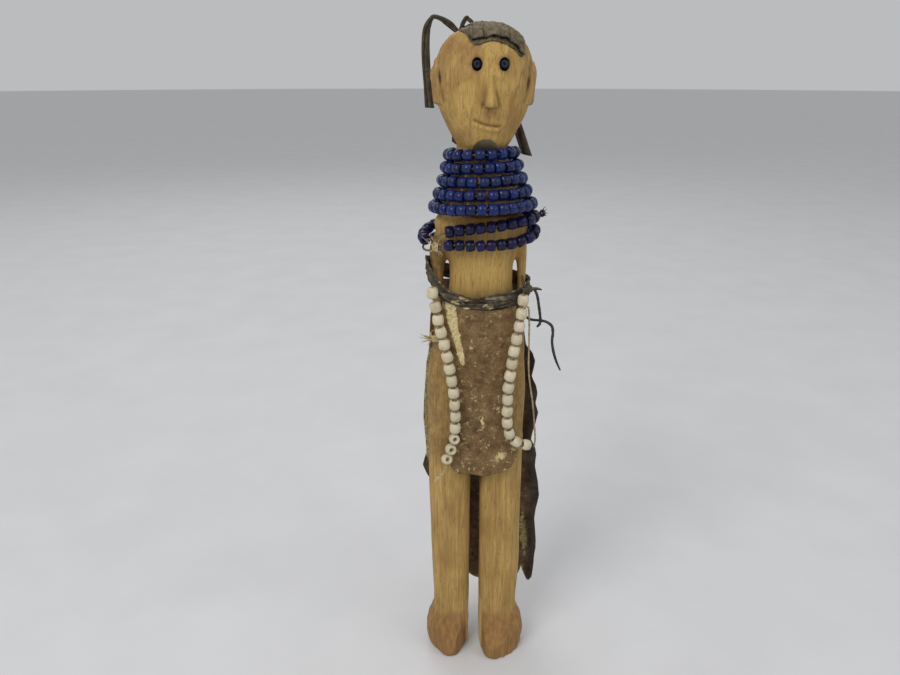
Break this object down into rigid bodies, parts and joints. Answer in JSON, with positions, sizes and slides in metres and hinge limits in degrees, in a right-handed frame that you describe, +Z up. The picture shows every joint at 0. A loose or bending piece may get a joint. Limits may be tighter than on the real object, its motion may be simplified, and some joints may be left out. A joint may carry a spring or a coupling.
{
  "type": "fertility doll",
  "caption": "Carved wooden standing doll with glass bead neck rings, bead strands, hide belt, front apron edged with white beads, long back skirt and hide hair.",
  "frame": {"origin": "centre of the doll's footprint on the floor, at the middle of its overall width and depth without the loose thongs", "axes": "+Z up along the body, -Y the way the doll faces, +X to the right of a viewer who faces it"},
  "size_m": [0.0661, 0.0484, 0.3138],
  "materials": {
    "wood": "carved, unvarnished",
    "eye_glass": "dark glossy glass",
    "hair_hide": "dry dark hide",
    "blue_glass": "opaque cobalt glass, slightly worn",
    "indigo_glass": "opaque indigo glass, slightly worn",
    "white_glass": "opaque off-white glass, matt",
    "thread": "twisted plant thread",
    "sinew": "frayed dry sinew",
    "belt_hide": "twisted dark hide with cream patches",
    "apron_hide": "mottled worn rawhide",
    "skirt_hide": "dark stiff hide",
    "thong": "black rolled hide"
  },
  "bodies": {
    "doll": {"carved_body": "wood", "eye_beads": "eye_glass", "hair_crest": "hair_hide", "hair_underlayer": "hair_hide", "hair_loop": "hair_hide", "hair_tail_left": "hair_hide", "hair_tail_right": "hair_hide", "chest_beads_upper": "indigo_glass", "chest_beads_lower": "indigo_glass", "chest_thread_upper": "thread", "chest_thread_lower": "thread", "chest_knot_left": "sinew", "chest_knot_right": "thong", "belt_upper_strip": "belt_hide", "belt_lower_strip": "belt_hide", "belt_knot": "belt_hide", "arm_binding": "sinew", "apron_hem": "apron_hide", "skirt_hem": "skirt_hide", "belt_beads": "white_glass", "belt_bead_threads": "thread", "thong_hooked": "thong", "thong_bent": "thong"},
    "neck_ring_1": {"neck_beads_1": "blue_glass", "neck_thread_1": "thread"},
    "neck_ring_2": {"neck_beads_2": "blue_glass", "neck_thread_2": "thread"},
    "neck_ring_3": {"neck_beads_3": "blue_glass", "neck_thread_3": "thread"},
    "neck_ring_4": {"neck_beads_4": "blue_glass", "neck_thread_4": "thread"},
    "neck_ring_5": {"neck_beads_5": "blue_glass", "neck_thread_5": "thread"},
    "apron": {"apron": "apron_hide", "apron_beads_left": "white_glass", "apron_beads_right": "white_glass", "apron_thread_left": "thread", "apron_thread_right": "thread", "apron_side_thread": "thread", "apron_sinew_tail": "sinew"},
    "skirt": {"back_skirt": "skirt_hide"},
    "hair_strap": {"hair_strap": "hair_hide"}
  },
  "joints": [
    {"name": "neck_ring_1_turn", "type": "hinge", "parent": "doll", "child": "neck_ring_1", "pos_m": [-0.00038, 0.00057, 0.2591], "axis": [-0.0349, 0.0523, 0.998], "continuous": true},
    {"name": "neck_ring_2_turn", "type": "hinge", "parent": "doll", "child": "neck_ring_2", "pos_m": [-0.00019, 0.00028, 0.25366], "axis": [-0.0349, 0.0523, 0.998], "continuous": true},
    {"name": "neck_ring_3_turn", "type": "hinge", "parent": "doll", "child": "neck_ring_3", "pos_m": [0, 0, 0.24823], "axis": [-0.0349, 0.0523, 0.998], "continuous": true},
    {"name": "neck_ring_4_turn", "type": "hinge", "parent": "doll", "child": "neck_ring_4", "pos_m": [0.00019, -0.00028, 0.24279], "axis": [-0.0349, 0.0523, 0.998], "continuous": true},
    {"name": "neck_ring_5_turn", "type": "hinge", "parent": "doll", "child": "neck_ring_5", "pos_m": [0.00038, -0.00057, 0.23735], "axis": [-0.0349, 0.0523, 0.998], "continuous": true},
    {"name": "apron_swing", "type": "hinge", "parent": "doll", "child": "apron", "pos_m": [0, -0.0155, 0.1965], "axis": [-1, 0, 0], "range_deg": [0, 80]},
    {"name": "skirt_swing", "type": "hinge", "parent": "doll", "child": "skirt", "pos_m": [0, 0.0147, 0.202], "axis": [1, 0, 0], "range_deg": [0, 70]},
    {"name": "hair_strap_swing", "type": "hinge", "parent": "doll", "child": "hair_strap", "pos_m": [-0.0114, 0.0032, 0.3086], "axis": [0, 1, 0], "range_deg": [0, 35]}
  ]
}
